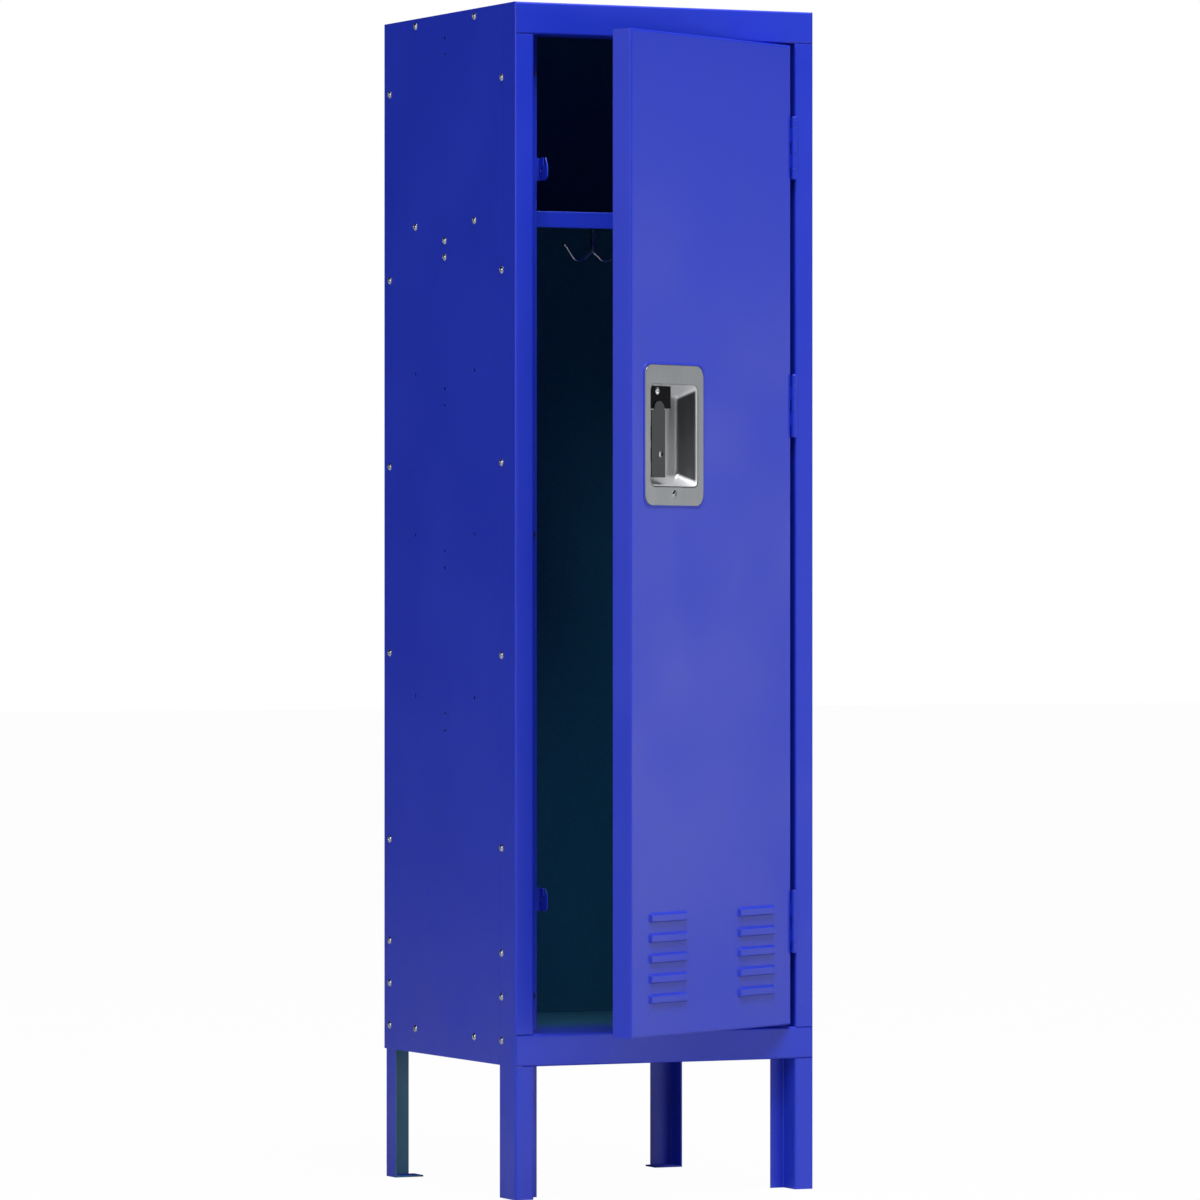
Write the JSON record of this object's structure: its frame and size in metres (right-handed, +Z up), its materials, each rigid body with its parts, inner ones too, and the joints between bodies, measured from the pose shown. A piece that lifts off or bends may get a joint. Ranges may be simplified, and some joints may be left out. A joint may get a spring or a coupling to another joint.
{
  "type": "school locker",
  "caption": "Free-standing single-tier steel locker on four legs, with a hinged louvred door, a recessed lift handle, a hat shelf and coat hooks.",
  "frame": {"origin": "on the floor, at the middle of the four anchor holes in the foot plates", "axes": "+Z up, -Y out of the door, +X to the right as one faces the door"},
  "size_m": [0.3862, 0.5447, 1.3716],
  "materials": {
    "blue_powder": "satin powder coat",
    "handle_steel": "brushed stainless",
    "fastener_steel": "zinc plated, bright",
    "hook_steel": "polished plating",
    "zinc_bar": "zinc plated, dull",
    "lever_grey": "dark grey satin",
    "black_plastic": "moulded, fine grain",
    "bumper_rubber": "matte"
  },
  "bodies": {
    "cabinet": {"left_side_panel": "blue_powder", "right_side_panel": "blue_powder", "back_panel": "blue_powder", "top_panel": "blue_powder", "bottom_panel": "blue_powder", "hat_shelf": "blue_powder", "front_left_post": "blue_powder", "front_right_post": "blue_powder", "top_front_rail": "blue_powder", "bottom_front_rail": "blue_powder", "rear_left_leg": "blue_powder", "rear_right_leg": "blue_powder", "front_left_foot_plate": "blue_powder", "front_right_foot_plate": "blue_powder", "rear_left_foot_plate": "blue_powder", "rear_right_foot_plate": "blue_powder", "upper_frame_hook": "blue_powder", "lower_frame_hook": "blue_powder", "frame_hook_rivets": "blue_powder", "door_bumpers": "bumper_rubber", "left_side_screws": "fastener_steel", "right_side_screws": "fastener_steel", "left_side_nuts": "fastener_steel", "right_side_nuts": "fastener_steel", "ceiling_coat_hook": "hook_steel", "ceiling_hook_nut": "fastener_steel", "left_coat_hook": "hook_steel", "right_coat_hook": "hook_steel", "upper_hinge_frame_leaf": "blue_powder", "middle_hinge_frame_leaf": "blue_powder", "lower_hinge_frame_leaf": "blue_powder", "upper_hinge_pin": "blue_powder", "middle_hinge_pin": "blue_powder", "lower_hinge_pin": "blue_powder"},
    "door": {"door_panel": "blue_powder", "door_stiffener": "blue_powder", "upper_hinge_door_leaf": "blue_powder", "middle_hinge_door_leaf": "blue_powder", "lower_hinge_door_leaf": "blue_powder", "handle_cup": "handle_steel", "handle_screw": "fastener_steel", "latch_block": "black_plastic", "latch_block_rivet": "fastener_steel", "padlock_staple": "handle_steel", "lock_bar_guides": "black_plastic"},
    "lock_bar": {"lock_bar": "zinc_bar", "lock_bar_pins": "zinc_bar", "lift_lever": "lever_grey", "lever_rivets": "zinc_bar"}
  },
  "joints": [
    {"name": "door_swing", "type": "hinge", "parent": "cabinet", "child": "door", "pos_m": [0.16425, -0.193, 0.75], "axis": [0, 0, 1], "range_deg": [-30, 140]},
    {"name": "latch_lift", "type": "slide", "parent": "door", "child": "lock_bar", "axis": [0, 0, 1], "range_m": [0, 0.01]}
  ]
}
